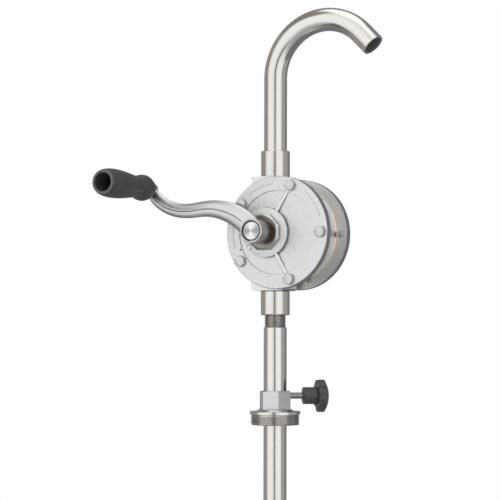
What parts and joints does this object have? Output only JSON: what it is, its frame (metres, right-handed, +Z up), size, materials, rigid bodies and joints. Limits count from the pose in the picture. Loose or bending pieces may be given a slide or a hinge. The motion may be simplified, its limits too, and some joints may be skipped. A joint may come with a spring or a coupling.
{
  "type": "rotary hand transfer pump",
  "caption": "Crank-driven rotary vane pump on a suction tube, with a bent discharge spout and a sliding drum bung adapter held by a star-knob clamp screw.",
  "frame": {"origin": "on the suction tube's axis, at the underside of the bung adapter's flange, where it seats on the drum", "axes": "+Z up along the suction tube, +X towards the spout's outlet, -Y towards the crank and its grip"},
  "size_m": [0.2957, 0.228, 1.3405],
  "materials": {
    "tube_steel": "satin",
    "socket_steel": "satin",
    "cast_steel": "matte",
    "arm_steel": "satin",
    "shaft_steel": "turned",
    "fastener_steel": "polished",
    "spring_steel": "satin",
    "ptfe": "matte",
    "gasket": "matte",
    "grip_black": "matte",
    "knob_black": "matte"
  },
  "bodies": {
    "adapter": {"bung_adapter": "socket_steel"},
    "seal": {"tube_seal": "gasket"},
    "pump": {"suction_tube": "tube_steel", "inlet_socket": "socket_steel", "outlet_socket": "socket_steel", "discharge_spout": "tube_steel", "pump_casing": "cast_steel", "front_cover": "cast_steel", "rear_cover": "cast_steel", "front_gasket": "gasket", "rear_gasket": "gasket", "cover_bolts": "fastener_steel", "rear_screws": "fastener_steel", "rear_nuts": "fastener_steel", "grease_plug": "fastener_steel", "front_bush": "ptfe", "rear_bush": "ptfe", "shaft_packing": "ptfe", "gland_nut": "shaft_steel"},
    "crank": {"rotor_shaft": "shaft_steel", "vane_springs": "spring_steel", "crank_arm": "arm_steel", "crank_key": "shaft_steel", "crank_circlip": "spring_steel", "grip_spindle": "fastener_steel", "grip_washer": "fastener_steel", "grip_nut": "fastener_steel"},
    "grip": {"hand_grip": "grip_black"},
    "upper_vane": {"upper_vane": "ptfe"},
    "lower_vane": {"lower_vane": "ptfe"},
    "clamp_tip": {"clamp_tip": "ptfe"},
    "clamp_screw": {"clamp_stud": "fastener_steel", "clamp_knob": "knob_black"}
  },
  "joints": [
    {"name": "pump_swivel", "type": "hinge", "parent": "adapter", "child": "seal", "pos_m": [0, 0, 0.02], "axis": [0, 0, 1], "continuous": true},
    {"name": "height_slide", "type": "slide", "parent": "seal", "child": "pump", "axis": [0, 0, 1], "range_m": [-0.09, 0.78]},
    {"name": "crank_turn", "type": "hinge", "parent": "pump", "child": "crank", "pos_m": [0.0045, -0.06, 0.2186], "axis": [0, -1, 0], "continuous": true},
    {"name": "grip_spin", "type": "hinge", "parent": "crank", "child": "grip", "pos_m": [-0.137, -0.12, 0.274], "axis": [0, -1, 0], "continuous": true},
    {"name": "upper_vane_slide", "type": "slide", "parent": "crank", "child": "upper_vane", "axis": [0, 0, 1], "range_m": [0, 0.0115], "deforming": ["vane_springs"]},
    {"name": "lower_vane_slide", "type": "slide", "parent": "crank", "child": "lower_vane", "axis": [0, 0, -1], "range_m": [0, 0.0115], "deforming": ["vane_springs"]},
    {"name": "clamp_slide", "type": "slide", "parent": "adapter", "child": "clamp_tip", "axis": [0.766, 0.6428, 0], "range_m": [0, 0.00187]},
    {"name": "clamp_turn", "type": "hinge", "parent": "clamp_tip", "child": "clamp_screw", "pos_m": [0.0383, 0.03214, 0.0223], "axis": [0.766, 0.6428, 0], "range_deg": [0, 545]}
  ],
  "couplings": [
    {"joint": "clamp_turn", "follows": "clamp_slide", "rad_per_m": 5026.5}
  ]
}
